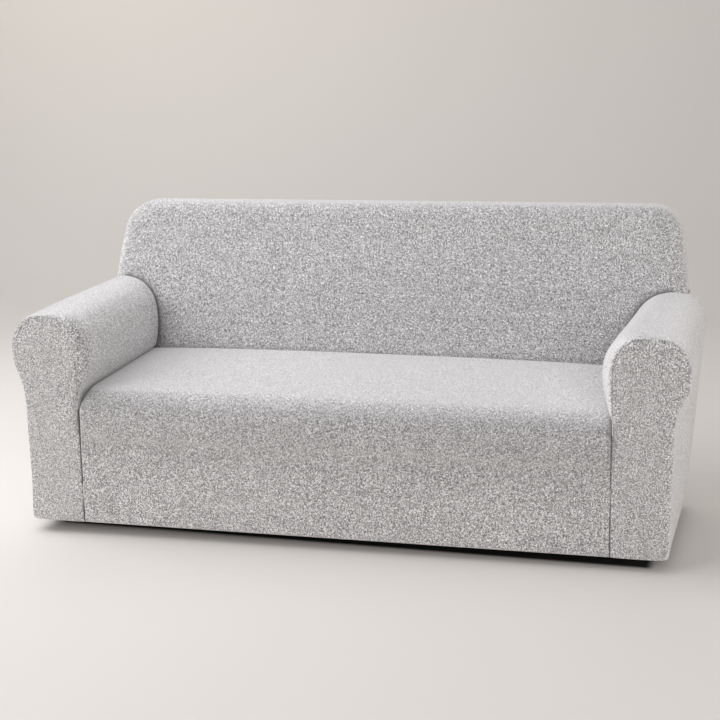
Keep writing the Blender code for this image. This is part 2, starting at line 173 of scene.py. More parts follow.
def ripple(a, b, seed):
    # Unevenness of stretched cloth, about -1 to 1, another one for each seed
    total = 0.0
    for k, (alongA, alongB, size) in enumerate(cloth["waves"]):
        turn = cloth["seedTurn"] * seed + cloth["waveTurn"] * k
        total = total + size * np.sin(alongA * a + alongB * b + turn)
    return total / 2.0


class Wire:
    # A socket of a material: + - * / on it make Math nodes
    def __init__(self, tree, socket):
        self.tree = tree
        self.socket = socket

    def node(self, kind, settings=None, output=0, **values):
        made = self.tree.nodes.new(kind)
        for key, value in (settings or {}).items():
            setattr(made, key, value)
        for key, value in values.items():
            # i0, i1 and so on are inputs by number, other words are inputs by name
            numbered = key[0] == "i" and key[1:].isdigit()
            socket = made.inputs[int(key[1:]) if numbered else key.replace("_", " ")]
            if isinstance(value, Wire):
                self.tree.links.new(value.socket, socket)
            else:
                socket.default_value = value
        return Wire(self.tree, made.outputs[output])

    def math(self, operation, *values):
        named = {f"i{k}": value for k, value in enumerate(values)}
        return self.node("ShaderNodeMath", {"operation": operation}, **named)

    def absolute(self):
        return self.math("ABSOLUTE", self)

    def parts(self, count):
        # The first parts of a vector
        return [self.node("ShaderNodeSeparateXYZ", {}, k, Vector=self) for k in range(count)]

    def __add__(self, other):
        return self.math("ADD", self, other)

    def __sub__(self, other):
        return self.math("SUBTRACT", self, other)

    def __rsub__(self, other):
        return self.math("SUBTRACT", other, self)

    def __mul__(self, other):
        return self.math("MULTIPLY", self, other)

    def __truediv__(self, other):
        return self.math("DIVIDE", self, other)

    __radd__ = __add__
    __rmul__ = __mul__

    def between(self, low, high):
        # 0 below low, 1 above high, smooth between
        settings = {"interpolation_type": "SMOOTHSTEP", "clamp": True}
        return self.node("ShaderNodeMapRange", settings, Value=self, From_Min=low, From_Max=high)

    def noise(self, scale, detail, roughness, distortion=0.0):
        values = {"Scale": scale, "Detail": detail, "Roughness": roughness, "Distortion": distortion}
        return self.node("ShaderNodeTexNoise", {"noise_dimensions": "3D"}, Vector=self, **values)

    def mixColour(self, low, high):
        # One colour where this value is 0, the other where it is 1
        settings = {"data_type": "RGBA"}
        return self.node("ShaderNodeMix", settings, 2, i0=self, i6=low, i7=high)

    def stretched(self, scale):
        settings = {"vector_type": "POINT"}
        return self.node("ShaderNodeMapping", settings, Vector=self, Scale=scale)


knit = {
    # Melange: crooked dark and pale flecks over a mid grey
    "dark": (0.060, 0.058, 0.058, 1.0),
    "mid": (0.470, 0.462, 0.464, 1.0),
    "light": (0.980, 0.970, 0.973, 1.0),
    "fleck": 0.0054,              # twice their spacing
    "fleckStretch": (1.0, 0.42, 0.90),
    "fleckWidth": 0.120,          # as a part of the noise's range
    "fleckEdge": (0.0, 0.55),
    "fleckDetail": (1.5, 0.55),   # detail and roughness of the noise
    "fleckBend": 0.8,
    "darkStretch": (1.0, 1.1, 0.9),
    "darkScale": 1.13,
    "breakScale": 2.1,            # a second noise breaks the flecks up
    "breakRange": (0.40, 0.54),
    "cloudScale": 9.0,            # slow drift in how many flecks are pale
    "cloudShare": 0.12,
    "streakStretch": (260.0, 11.0, 1.0),    # pale yarns along the columns of stitches
    "streakRange": (0.45, 0.75),
    "streakShare": 0.12,
    "wale": 0.0017,               # width of one column of stitches
    "course": 0.0021,             # height of one stitch
    "bump": 0.00045,
    "bumpStrength": 0.6,
    "roughness": 0.92,
    "specular": 0.25,
    "sheen": 1.0,
    "sheenRoughness": 0.70,
    "sheenTint": (1.0, 0.995, 0.985, 1.0),
    "paintedShadeColour": (0.020, 0.019, 0.019, 1.0),     # painted shade, in the valley of a seam and in the hollows
    "stitchScale": 170.0,         # the stitches of a seam break its dark line
    "stitchRange": (0.35, 0.60),
    "stitchShare": 0.4,
    "soft": (0.985, 0.975, 0.992, 1.0),     # painted light: a paler colour laid where light falls full on the cloth
    "softDark": (0.560, 0.550, 0.560, 1.0),    # its flecks there
    "softDarkShare": 0.75,
}

# Heights of the bump's layers, as parts of its depth
relief = {"column": 0.8, "loop": 0.25, "pale": 0.9, "dark": -0.6, "streak": 0.5}

# Share of the painted light: a paler colour laid on where light falls full on the cloth
paintedLightShare = {
    "seat": 0.34,
    "seatEdge": (0.97, 1.0),      # from none to all, by the upward part of the normal
    "seatLeft": 0.62,             # more of it beside the left arm
    "seatLeftWidth": 0.30,
    "seatRight": 0.34,            # less of it beside the right arm
    "seatRightWidth": 0.22,
    "armTop": (0.20, 0.40),       # left arm, right arm
    "armInner": (0.0, 0.80),
    "upward": (0.3, 0.8),         # the arm's top, by the upward part of the normal
    "inward": (0.1, 0.6),         # its inner side, by the part towards the seat
}

# Painted shade: how dark the hollows and the seam lines are painted, from 0 to 1, and how far from them
# the painted shade reaches
shade = {
    "line": 0.0010,           # a seam line is dark up to here from its edge
    "lineEnd": 0.0034,
    "rearLine": 0.4,          # of the seams round the rear panel
    "seatSide": (0.55, 0.90),    # on the seat, beside the left arm, beside the right one
    "seatSideWidth": (0.006, 0.009),
    "armFoot": 0.74,          # on the arms, up from the seat
    "armFootWidth": 0.021,
    "armFootStart": 0.05,     # it grows over this length from the arm's front
    "armRear": 0.45,          # on the arms, forward from the back
    "armRearWidth": 0.035,
    "armRearLow": (0.04, 0.14),    # all of it up to here from the seat, a part beyond
    "armRearHigh": 0.3,
    "armRearFrom": 0.3,       # no seam line at the rear before this y
    "backSide": 0.96,         # on the back, beside the arms
    "backSideWidth": (0.006, 0.022),    # at the top of the roll, lower down
    "backSideLow": 0.20,
    "backFoot": 0.25,
    "backFootWidth": 0.010,
    "backFootStart": 0.010,   # all of it up to here from the seat
    "frontTop": 0.17,         # under the seat's front edge, as far down as the height
    "frontTopHeight": (0.080, 0.280),
    "frontTopEnd": (0.004, 0.026),    # below the top of the seat, from none to all
    "frontEdge": 0.13,        # round the seat's front edge: how dark, its height, its width
    "frontEdgeZ": 0.366,
    "frontEdgeWidth": 0.017,
    "frontSide": 0.60,        # on the arms' fronts, beside the bulge of the seat's front
    "frontSideWidth": 0.009,
    "frontLine": 0.95,
    "frontLowLine": 0.80,
    "rollLine": (0.60, 0.20),    # on the inner side of the left roll, of the right one
}


def seamLine(distance):
    return 1 - rising(distance, shade["line"], shade["lineEnd"])


def layered(*shades):
    # Darkness of several shades over each other
    light = 1.0
    for dark in shades:
        light = light * (1 - dark)
    return 1 - light


def knitMaterial(name):
    # Melange yarn on a fine jersey of V stitches
    material = bpy.data.materials.new(name)
    material.use_nodes = True
    tree = material.node_tree
    shader = tree.nodes["Principled BSDF"]
    here = Wire(tree, tree.nodes.new("ShaderNodeTexCoord").outputs["Object"])
    uv = here.node("ShaderNodeUVMap", {"uv_map": "cut"})
    words = ("paintedSeamShade", "paintedHollowShade", "softness")
    # Output 2 of an attribute's node is the single value
    marks = [here.node("ShaderNodeAttribute", {"attribute_name": word}, 2) for word in words]
    paintedSeamShade, paintedHollowShade, softness = marks

    # Flecks lie where a bent noise passes its middle value, broken up by a second noise. They
    # are longer from front to rear, the way in which the cloth is stretched least.
    scale = 1.0 / knit["fleck"]
    paleAt = here.stretched(knit["fleckStretch"])
    darkAt = paleAt.stretched(knit["darkStretch"])
    paleLine = paleAt.noise(scale, *knit["fleckDetail"], knit["fleckBend"])
    darkLine = darkAt.noise(scale * knit["darkScale"], *knit["fleckDetail"], knit["fleckBend"])
    breaks = paleAt.noise(scale * knit["breakScale"], detail=1.0, roughness=0.5)
    cloud = here.noise(knit["cloudScale"], detail=3.0, roughness=0.55)
    streak = uv.stretched(knit["streakStretch"]).noise(1.0, detail=2.0, roughness=0.6)
    pale = (1.0 - (paleLine - 0.5).absolute() / knit["fleckWidth"]).between(*knit["fleckEdge"])
    dark = (1.0 - (darkLine - 0.5).absolute() / knit["fleckWidth"]).between(*knit["fleckEdge"])
    pale = pale * breaks.between(*knit["breakRange"]) + (cloud - 0.5) * knit["cloudShare"]
    dark = dark * (1.0 - breaks).between(*knit["breakRange"])
    colour = pale.mixColour(knit["mid"], knit["light"])
    colour = dark.mixColour(colour, knit["dark"])
    streakShare = streak.between(*knit["streakRange"]) * knit["streakShare"]
    colour = streakShare.mixColour(colour, knit["light"])
    # Painted light: a paler colour with fainter flecks, laid on by its share of painted light
    soft = (dark * knit["softDarkShare"]).mixColour(knit["soft"], knit["softDark"])
    colour = softness.mixColour(colour, soft)

    # Painted shade: a sewn edge is painted darker in its valley, broken by its stitches, and the hollows
    # are painted darker too
    stitch = here.stretched((knit["stitchScale"],) * 3).noise(1.0, detail=1.0, roughness=0.5)
    stitch = stitch.between(*knit["stitchRange"])
    valley = paintedSeamShade * (1.0 - knit["stitchShare"] + stitch * knit["stitchShare"])
    colour = valley.mixColour(colour, knit["paintedShadeColour"])
    colour = paintedHollowShade.mixColour(colour, knit["paintedShadeColour"])
    tree.links.new(colour.socket, shader.inputs["Base Color"])

    # Columns of V loops: a wave that is slanted one way and then the other
    across, up = uv.parts(2)
    column = across.math("PINGPONG", across * (1.0 / knit["wale"]), 0.5)
    loop = (up * (1.0 / knit["course"]) + column) * (2.0 * math.pi)
    height = column * relief["column"] + loop.math("SINE", loop) * relief["loop"]
    height = height + pale * relief["pale"] + dark * relief["dark"] + streak * relief["streak"]
    values = {"Strength": knit["bumpStrength"], "Distance": knit["bump"], "Height": height}
    bump = here.node("ShaderNodeBump", **values)
    tree.links.new(bump.socket, shader.inputs["Normal"])
    shader.inputs["Roughness"].default_value = knit["roughness"]
    shader.inputs["Metallic"].default_value = 0.0
    shader.inputs["Specular IOR Level"].default_value = knit["specular"]
    shader.inputs["Sheen Weight"].default_value = knit["sheen"]
    shader.inputs["Sheen Roughness"].default_value = knit["sheenRoughness"]
    shader.inputs["Sheen Tint"].default_value = knit["sheenTint"]
    return material


hem = {
    "height": 0.014,
    "tuck": 0.010,            # its elastic draws it in under the sofa this far
    "corner": 0.060,
    "halfWidth": 0.918,
    "rear": 0.612,
}


def settle(points):
    # The elastic draws the hem in along a quarter ellipse. The top of the back rises to the right
    # and sits a little to the left. In front, the left roll is slimmer and its foot wider.
    x, y, z = points[..., 0], points[..., 1], points[..., 2]
    low = np.clip(1 - z / hem["height"], 0, 1)
    tuck = hem["tuck"] * (1 - np.sqrt(1 - low**2))
    inX = -np.sign(x) * rising(np.abs(x), hem["halfWidth"] - hem["corner"], hem["halfWidth"])
    inY = ease(1 - y / hem["corner"]) - ease(1 - (hem["rear"] - y) / hem["corner"])
    above = ease((z - back["shiftFoot"]) / back["shiftLength"])
    lift = back["slope"] * x / back["halfWidth"] * above
    slim = leftRoll["slim"] * ease((z - leftRoll["slimFoot"]) / leftRoll["slimEase"])
    slim = slim - leftRoll["foot"] * (1 - ease(z / leftRoll["footHeight"]))
    outer = ease((-x - arm["rollX"]) / arm["rollHalfWidth"])
    slim = slim * outer * (1 - ease(y / leftRoll["length"]))
    return together(x + inX * tuck - back["shift"] * above + slim, y + inY * tuck, z + lift)


def panel(name, node, grids, inside, material):
    # Each grid: points[row, column, 3], uv[row, column, 2] and, from 0 to 1 at each place, the
    # darkness of its painted seam shade, that of the painted shade in its hollows and the share of the
    # painted light.
    # A grid without the last ones has 0 there.
    points = np.concatenate([settle(grid[0]).reshape(-1, 3) for grid in grids])
    uvs = np.concatenate([grid[1].reshape(-1, 2) for grid in grids])
    quads, first = [], 0
    for grid, *_ in grids:
        rows, columns = grid.shape[:2]
        corner = first + np.arange(rows - 1)[:, None] * columns + np.arange(columns - 1)[None]
        ring = together(corner, corner + 1, corner + columns + 1, corner + columns).reshape(-1, 4)
        # Each grid's faces turn away from the inside of the sofa
        a, b, c, d = (points[ring[:, k]] for k in range(4))
        if np.sum(np.cross(c - a, d - b) * (a + c - 2 * np.array(inside))) < 0:
            ring = ring[:, ::-1]
        quads.append(ring)
        first += rows * columns
    quads = np.concatenate(quads)
    mesh = bpy.data.meshes.new(name)
    mesh.from_pydata((points + place).tolist(), [], quads.tolist())
    layer = mesh.uv_layers.new(name="cut")
    layer.data.foreach_set("uv", uvs[quads.reshape(-1)].astype(np.float32).reshape(-1))
    for k, word in enumerate(("paintedSeamShade", "paintedHollowShade", "softness"), 2):
        marks = [grid[k] if k < len(grid) else np.zeros(grid[0].shape[:2]) for grid in grids]
        values = np.concatenate([mark.reshape(-1) for mark in marks]).astype(np.float32)
        mesh.attributes.new(word, "FLOAT", "POINT").data.foreach_set("value", values)
    shell = bmesh.new()
    shell.from_mesh(mesh)
    bmesh.ops.remove_doubles(shell, verts=shell.verts, dist=1e-6)
    shell.to_mesh(mesh)
    shell.free()
    mesh.shade_smooth()
    mesh.materials.append(material)
    piece = bpy.data.objects.new(name, mesh)
    bpy.context.scene.collection.objects.link(piece)
    wall = piece.modifiers.new("Cloth", "SOLIDIFY")
    wall.thickness = cloth["thickness"]
    wall.offset = -1.0
    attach(piece, "root")
    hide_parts(node)
    print(f"{name}: {len(quads)} faces")


def pinched(points, distance, depth=cloth["pinchDepth"], width=cloth["pinchWidth"], sign=1.0):
    # A sewn edge sinks along the surface's normal into the valley of its seam
    return points - sign * normals(points) * (depth * fall(distance, width))[..., None]


seat = {
    "halfWidth": 0.7655,
    "rear": 0.6115,
    "height": 0.390,
    "crown": 0.010,
    "rearRadius": 0.006,
    "frontDepth": 0.125,
    "frontDrop": 0.054,
    "front": -0.007,          # y of the bulge of the seat's front
    "frontCell": 0.006,
    "frontEase": 0.02,        # what belongs to the seat's top fades over this height
    "bulgeFoot": 0.262,
    "bulgeFade": (-0.018, 0.016),    # from none of the bulge to all, about its foot
    "sideRadius": 0.015,      # beside the front
    "rearSideRadius": 0.007,
    "cornerLength": 0.160,
    "lowRadius": 0.0035,
    "unevenness": 0.0014,
    "calmLow": 0.08,          # the unevenness grows over this height from the hem
    "calmRear": 0.06,
    "flat": (1.43, 0.94),
    "inside": (0, 0.30, 0.10),    # its faces turn away from here
}


def seatProfile():
    # Rear arc, seat, front arc, then down the front, where the bulge steps back at its foot
    radius, depth, drop = seat["rearRadius"], seat["frontDepth"], seat["frontDrop"]
    start, front, height = seat["rear"] - radius, seat["front"], seat["height"]
    turn = quarter(10)
    rearArc = together(start + radius * np.cos(turn), height - radius + radius * np.sin(turn))
    top = together(start - steps(start - front - depth, first=False, last=False)[1:-1], height)
    turn = quarter(32)
    arc = together(front + depth * (1 - np.sin(turn)), height - drop * (1 - np.cos(turn)))
    edge = height - drop
    z = edge - steps(edge - hem["height"], seat["frontCell"], False, False)[1:]
    z = np.concatenate([z, np.linspace(hem["height"], 0, 9)[1:]])
    under = 1 - rising(z, *[seat["bulgeFoot"] + away for away in seat["bulgeFade"]])
    line = np.vstack([rearArc, top, arc, together(front * (1 - under), z)])
    under = np.concatenate([np.zeros(len(line) - len(z)), under])
    nearFront = ease(1 - line[:, 0] / seat["cornerLength"])
    sideRadius = blend((seat["rearSideRadius"], seat["sideRadius"]), nearFront)
    return line, blend((sideRadius, seat["lowRadius"]), under)


def makeSeat(material):
    line, radius = seatProfile()
    normal = -outward(line)
    # Half of each row is the rounded side and the flat part up to the middle
    turn = quarter(9)
    side = seat["halfWidth"] - radius[:, None] * (1 - np.cos(turn))
    sideDrop = radius[:, None] * (1 - np.sin(turn))
    count = int((seat["halfWidth"] - seat["sideRadius"]) / cloth["cell"])
    flat = (seat["halfWidth"] - radius[:, None]) * np.linspace(1, 0, count + 1)[1:]
    half = np.hstack([side, flat])
    drop = np.hstack([sideDrop, np.zeros_like(flat)])
    x = np.hstack([-half, half[:, -2::-1]])
    drop = np.hstack([drop, drop[:, -2::-1]])

    y, z, top = line[:, :1], line[:, 1:], seat["height"]
    along = lengths(line)[:, None] + 0 * x
    over = np.clip((seat["rear"] - y) / seat["rear"], 0, 1)
    onSeat = ease((z - top + seat["frontDrop"]) / seat["frontEase"])
    inner = np.clip(1 - (np.abs(x) / seat["halfWidth"]) ** 3, 0, 1)
    calm = inner * ease(z / seat["calmLow"]) * ease(along / seat["calmRear"])
    lift = seat["unevenness"] * ripple(x, along, 1) * calm - drop
    crown = seat["crown"] * (1 - over**3) * onSeat * inner
    points = together(x, y + normal[:, :1] * lift, z + normal[:, 1:] * lift + crown)

    # Painted shade beside the arms, below the front edge and round it
    right = (x > 0).astype(int)
    edge = seat["halfWidth"] - np.abs(x)
    beside = np.array(shade["seatSide"])[right] * np.exp(-edge / np.array(shade["seatSideWidth"])[right])
    onFront = y < seat["rear"] / 2
    below = rising(top - z, *shade["frontTopEnd"]) * rising(z, *shade["frontTopHeight"])
    band = np.exp(-(((z - shade["frontEdgeZ"]) / shade["frontEdgeWidth"]) ** 2))
    front = layered(shade["frontTop"] * below * onFront, shade["frontEdge"] * band * onFront)

    # Painted light: a paler colour on the flat of the seat, more of it beside the left arm and less
    # beside the right one
    level = rising(normal[:, 1:], *paintedLightShare["seatEdge"]) * (z > top - seat["frontDrop"])
    nearLeft = 1 - ease((x + seat["halfWidth"]) / paintedLightShare["seatLeftWidth"])
    nearRight = 1 - ease((seat["halfWidth"] - x) / paintedLightShare["seatRightWidth"])
    softness = paintedLightShare["seat"] + paintedLightShare["seatLeft"] * nearLeft - paintedLightShare["seatRight"] * nearRight
    grids = [(points, together(x, along), 0 * edge, layered(beside * onSeat, front), softness * level)]
    panel("seatAndFrontKnit", "seat_and_front", grids, seat["inside"], material)


arm = {
    "inner": 0.7668,
    "rollHalfWidth": 0.101,
    "rollRise": 0.102,
    "rollX": 0.8678,
    "rollZ": 0.513,
    "squareness": 2.3,
    "neckX": 0.9285,
    "neckZ": 0.400,
    "neckPull": 1.2,          # how far the roll's direction is kept into the neck
    "neckRise": 0.012,
    "facingFootX": 0.918,
    "facingFootPower": 0.6,
    "sideFootX": 0.930,
    "sideWideX": 0.978,
    "sideWideZ": 0.500,
    "sideBow": 0.80,
    "pullBetween": (10.0, -8.0),    # degrees on the roll where the straight side sets in
    "pullEase": 0.003,
    "pullInset": 0.0002,
    "spanStart": 0.060,
    "spanEnd": 0.450,
    "taper": 0.012,
    "taperStart": 0.500,
    "taperLength": 0.300,
    "taperTop": 0.520,
    "taperFade": 0.100,
    "taperEdge": 0.050,
    "fullUntil": 0.050,       # the fullness changes from here to the back, by this power
    "fullPower": 1.15,
    "cell": 0.0065,
    "junctionBetween": (76.0, 60.0),    # degrees on the roll, beside the back
    "junction": 0.90,         # this far from the first to the second
    "inside": (0.86, 0.40, 0.30),
    # Height, fullness in front, fullness at the rear, up the inner side
    "innerStations": [
        (0.345, 0.000, 0.000),
        (0.386, 0.000, 0.000),
        (0.394, 0.003, 0.007),
        (0.404, 0.009, 0.012),
        (0.430, 0.018, 0.015),
        (0.460, 0.027, 0.015),
        (0.490, 0.032, 0.013),
    ],
    # Degrees round the roll from its outer side, fullness in front, fullness at the rear
    "rollStations": [
        (180.0, 0.033, 0.008),
        (165.0, 0.031, 0.001),
        (150.0, 0.027, -0.005),
        (135.0, 0.024, -0.008),
        (120.0, 0.017, -0.009),
        (105.0, 0.010, -0.008),
        (90.0, 0.007, -0.005),
        (76.0, 0.006, -0.004),
        (60.0, 0.006, -0.005),
        (45.0, 0.006, -0.006),
        (28.0, 0.006, -0.004),
        (10.0, 0.006, 0.002),
        (-8.0, 0.006, 0.006),
        (-22.0, 0.006, 0.006),
        (-34.0, 0.006, 0.006),
    ],
    # Heights down the side to the hem
    "sideStations": [0.360, 0.290, 0.200, 0.100, 0.040, hem["height"], 0.008, 0.003, 0.0],
}

leftRoll = {
    "slim": 0.0085,
    "slimFoot": 0.400,
    "slimEase": 0.080,
    "foot": 0.0110,
    "footHeight": 0.160,
    "length": 0.450,
}

back = {
    "footY": 0.613,
    "lean": 0.320,
    "crown": 0.014,
    "halfWidth": 0.917,
    "taper": 0.042,
    "taperStart": 0.600,
    "taperPower": 1.6,
    "top": 0.845,
    "slope": 0.0075,
    "shift": 0.0033,
    "shiftFoot": 0.635,
    "shiftLength": 0.150,
    "corner": 0.095,
    "frontEdge": 0.040,
    "rearFootY": 0.612,
    "rearLean": 0.310,
    "rearEdge": 0.022,
    "underLap": 0.004,
    "tuckBottom": 0.368,
    "tuckClear": 0.004,       # the tucked edge meets the arm this far over its lowest line
    "rimClear": 0.003,
    "unevenness": 0.0016,
    "rippleStretch": 1.4,
    "calmSeat": (0.38, 0.44),    # heights between which the unevenness grows
    "calmSide": 0.10,
    "insideFlat": (1.95, 0.62),
    "insideArea": 1.02,
    "inside": (0, 0.80, 0.50),
    "rearUnevenness": 0.0015,
    "rearCalmSide": 0.10,
    "rearCalmLow": 0.08,
    "rearTopRun": 1.75,       # length of the rear panel's top
    "rearCell": 0.012,
    "outsideFlat": (1.78, 0.80),
    "outsideArea": 1.34,
    "rearInside": (0, 0.50, 0.40),
}


def rollPoint(degrees):
    # Superellipse: signed powers of the cosine and the sine
    c, s = np.cos(np.radians(degrees)), np.sin(np.radians(degrees))
    power = 2 / arm["squareness"]
    x = arm["rollX"] + arm["rollHalfWidth"] * np.sign(c) * np.abs(c) ** power
    z = arm["rollZ"] + arm["rollRise"] * np.sign(s) * np.abs(s) ** power
    return together(x, z)


def armOutline():
    # Stations (x, z, front fullness, rear fullness) of the facing's seam, from the seat crease
    # over the roll and its neck down to the hem, and the same ones close together
    inner = np.array([(arm["inner"], *station) for station in arm["innerStations"]])
    table = np.array(arm["rollStations"])
    roll = np.hstack([rollPoint(table[:, 0]), table[:, 1:]])
    sideZ = np.array(arm["sideStations"])
    rise = (sideZ / arm["neckZ"]) ** arm["facingFootPower"]
    side = together(blend((arm["facingFootX"], arm["neckX"]), rise), sideZ)
    # The neck is a cubic curve from the end of the roll to the first place on the side
    t = np.array([[0.25], [0.5], [0.75]])
    start = roll[-1, :2]
    pullStart = start + (start - roll[-2, :2]) * arm["neckPull"]
    pullEnd = np.array([arm["neckX"], arm["neckZ"] + arm["neckRise"]])
    neck = (1 - t) ** 3 * start + 3 * t * (1 - t) ** 2 * pullStart
    neck = neck + 3 * t**2 * (1 - t) * pullEnd + t**3 * side[0]
    low = np.vstack([neck, side])
    low = np.hstack([low, np.full((len(low), 2), roll[-1, 2])])
    stations = np.vstack([inner, roll, low])
    knots = lengths(stations[:, :2])
    onRoll = dict(zip(table[:, 0].tolist(), knots[len(inner) :]))
    junction = blend([onRoll[degrees] for degrees in arm["junctionBetween"]], arm["junction"])
    at = steps(junction, arm["cell"], False, False)
    rest = junction + steps(knots[-1] - junction, arm["cell"], False, False)[1:]
    at = np.concatenate([at, rest])
    fine = spline(knots, stations, at)
    pull = [onRoll[degrees] for degrees in arm["pullBetween"]]
    return fine, at, int(np.searchsorted(at, junction)), rising(at, *pull)


fineOutline, outlineAt, junctionIndex, sidePull = armOutline()


def armSection(y):
    # Stations of the sleeve at y, one number for each: the outline moved out by its fullness,
    # with the side pulled straight from the roll to the hem
    line, full = fineOutline[:, :2], fineOutline[:, 2:]
    y = np.broadcast_to(np.asarray(y, float), (len(line),))
    rear = np.clip((y - arm["fullUntil"]) / (back["footY"] - arm["fullUntil"]), 0, 1)
    rear = rear ** arm["fullPower"]
    x, z = (line + outward(line) * (full[:, 0] * (1 - rear) + full[:, 1] * rear)[:, None]).T
    bow = np.clip(z / arm["sideWideZ"], 0, 1) ** arm["sideBow"]
    short = blend((arm["sideFootX"], arm["sideWideX"]), bow) - x
    pull = 0.5 * (short + np.sqrt(short**2 + arm["pullEase"] ** 2)) - arm["pullInset"]
    x = x + pull * sidePull * rising(y, arm["spanStart"], arm["spanEnd"])
    taper = arm["taper"] * ease((y - arm["taperStart"]) / arm["taperLength"])
    taper = taper * ease((arm["taperTop"] - z) / arm["taperFade"])
    return together(x - taper * ease((x - back["halfWidth"]) / arm["taperEdge"]), z)


def rollIndex(x):
    # Number of the station nearest to x on the upper half of the roll
    return int(np.argmin(np.abs(fineOutline[:, 0] - x) + (fineOutline[:, 1] < arm["rollZ"])))


def backFront(x, z):
    # A leaning plane, a little full in the middle
    full = np.clip(1 - (x / back["halfWidth"]) ** 4, 0, 1)
    rise = np.clip((z - seat["height"]) / (back["top"] - seat["height"]), 0, 1)
    crown = back["crown"] * full * np.sin(math.pi * rise) ** 2
    return back["footY"] + back["lean"] * np.maximum(z - seat["height"], 0.0) - crown


def backRear(z):
    return back["rearFootY"] + back["rearLean"] * z


def rearSection():
    return armSection(back["footY"] + back["lean"] * (arm["rollZ"] - seat["height"]))


def sleeveEnd(section):
    # y where the sleeve stops: at the back, round its front edge, then along the line of the rear
    edge, j = back["frontEdge"], junctionIndex
    y = backFront(section[:, 0], section[:, 1])
    sine = np.clip(1 - (section[j, 0] - section[:, 0]) / edge, 0, 1)
    onTop = (np.arange(len(y)) <= j) * (section[:, 1] > arm["rollZ"])
    y += edge * (1 - np.sqrt(1 - sine**2)) * onTop
    y -= 1.5 * cloth["gap"] + cloth["thickness"] * back["lean"]
    y[j:] = y[j] - back["rearLean"] * (section[j, 1] - section[j:, 1])
    return y


def rearLine(end, share, turn):
    # Stations of the sleeve beside the back, and round the rear edge by the turn
    rear = backRear(armSection(end)[:, 1])
    y = end + (rear - back["rearEdge"] - end) * share + back["rearEdge"] * math.sin(turn)
    inset = back["rearEdge"] * (1 - math.cos(turn))
    line = armSection(y)
    return line - outward(line) * inset, y


def standing(line, y):
    return together(line[:, 0], y, line[:, 1])  # a line of (x, z) in its place in depth


sleeve = {
    "shoulder": 0.014,        # the round from the facing's seam, longer where the arm is fuller
    "shoulderEase": 1.5,
    "unevenness": 0.0012,
    "rippleStretch": 1.3,
    "calmFront": 0.10,        # the unevenness grows over these lengths
    "calmRear": 0.08,
    "calmSeat": 0.06,
    "calmLow": 0.08,
    "rearPinch": (0.0035, 0.010),    # depth and width of the valley beside the back
    "flat": (0.93, 0.80),
    "area": 0.71,
}


def makeSleeve(side, name, node, material):
    outline, j, right = fineOutline[:, :2], junctionIndex, side > 0
    end = sleeveEnd(rearSection())
    out = np.linalg.norm(armSection(0.0) - outline, axis=1)
    shoulder = sleeve["shoulder"] + sleeve["shoulderEase"] * out
    rows = []
    for turn in quarter(13):
        y = shoulder * (1 - math.cos(turn))
        rows.append(standing(outline + (armSection(y) - outline) * math.sin(turn), y))
    reach = back["footY"] - sleeve["shoulder"]
    for share in steps(reach, first=False)[1:] / reach:
        y = shoulder + (end - shoulder) * share
        rows.append(standing(armSection(y), y))
    smooth = np.array(rows)
    runs = gridRuns(smooth)
    rearGap = runs[-1] - runs
    rearGap[:, j:] = 1.0
    along = outlineAt + 0 * runs
    calm = ease(runs / sleeve["calmFront"]) * ease(rearGap / sleeve["calmRear"])
    calm = calm * ease(along / sleeve["calmSeat"]) * ease(smooth[..., 2] / sleeve["calmLow"])
    uneven = ripple(smooth[..., 1] * sleeve["rippleStretch"], along, 3 + side) * calm
    sign = -1.0 if np.mean(normals(smooth)[:, j, 2]) < 0 else 1.0
    over = smooth + sign * normals(smooth) * (sleeve["unevenness"] * uneven)[..., None]
    over[-1, j:] = smooth[-1, j:]
    over = pinched(over, runs, sign=sign)
    over = pinched(over, rearGap, *sleeve["rearPinch"], sign)

    y = over[..., 1]
    # Painted shade up from the seat and forward from the back, and a painted seam line at the rear
    fromSeat = np.maximum(along - (seat["height"] - fineOutline[0, 1]), 0)
    foot = shade["armFoot"] * np.exp(-fromSeat / shade["armFootWidth"]) * ease(y / shade["armFootStart"])
    rear = blend((1.0, shade["armRearHigh"]), rising(fromSeat, *shade["armRearLow"]))
    rear = rear * shade["armRear"] * np.exp(-rearGap / shade["armRearWidth"])
    paintedSeamShade = seamLine(rearGap) * (y > shade["armRearFrom"])
    # Painted light: a paler colour on the arm's top and inner side, by the way its surface faces
    away = sign * normals(over)
    softness = paintedLightShare["armTop"][right] * rising(away[..., 2], *paintedLightShare["upward"])
    softness = softness + paintedLightShare["armInner"][right] * rising(-away[..., 0], *paintedLightShare["inward"])

    # Beside the back and round the rear edge, below the junction only
    places = [(share, 0.0) for share in np.linspace(0, 1, 14)]
    places += [(1.0, turn) for turn in quarter(9)[1:]]
    beside = np.array([standing(*rearLine(end, share, turn))[j:] for share, turn in places])
    beside[0] = over[-1, j:]
    toRear = gridRuns(beside[::-1])[::-1]
    mirror = np.array([side, 1, 1])
    besideMap = together(beside[..., 1], outlineAt[j:])
    grids = [
        (over * mirror, together(y, along), paintedSeamShade, layered(foot, rear), softness),
        (beside * mirror, besideMap, shade["rearLine"] * seamLine(toRear)),
    ]
    panel(name, node, grids, mirror * arm["inside"], material)


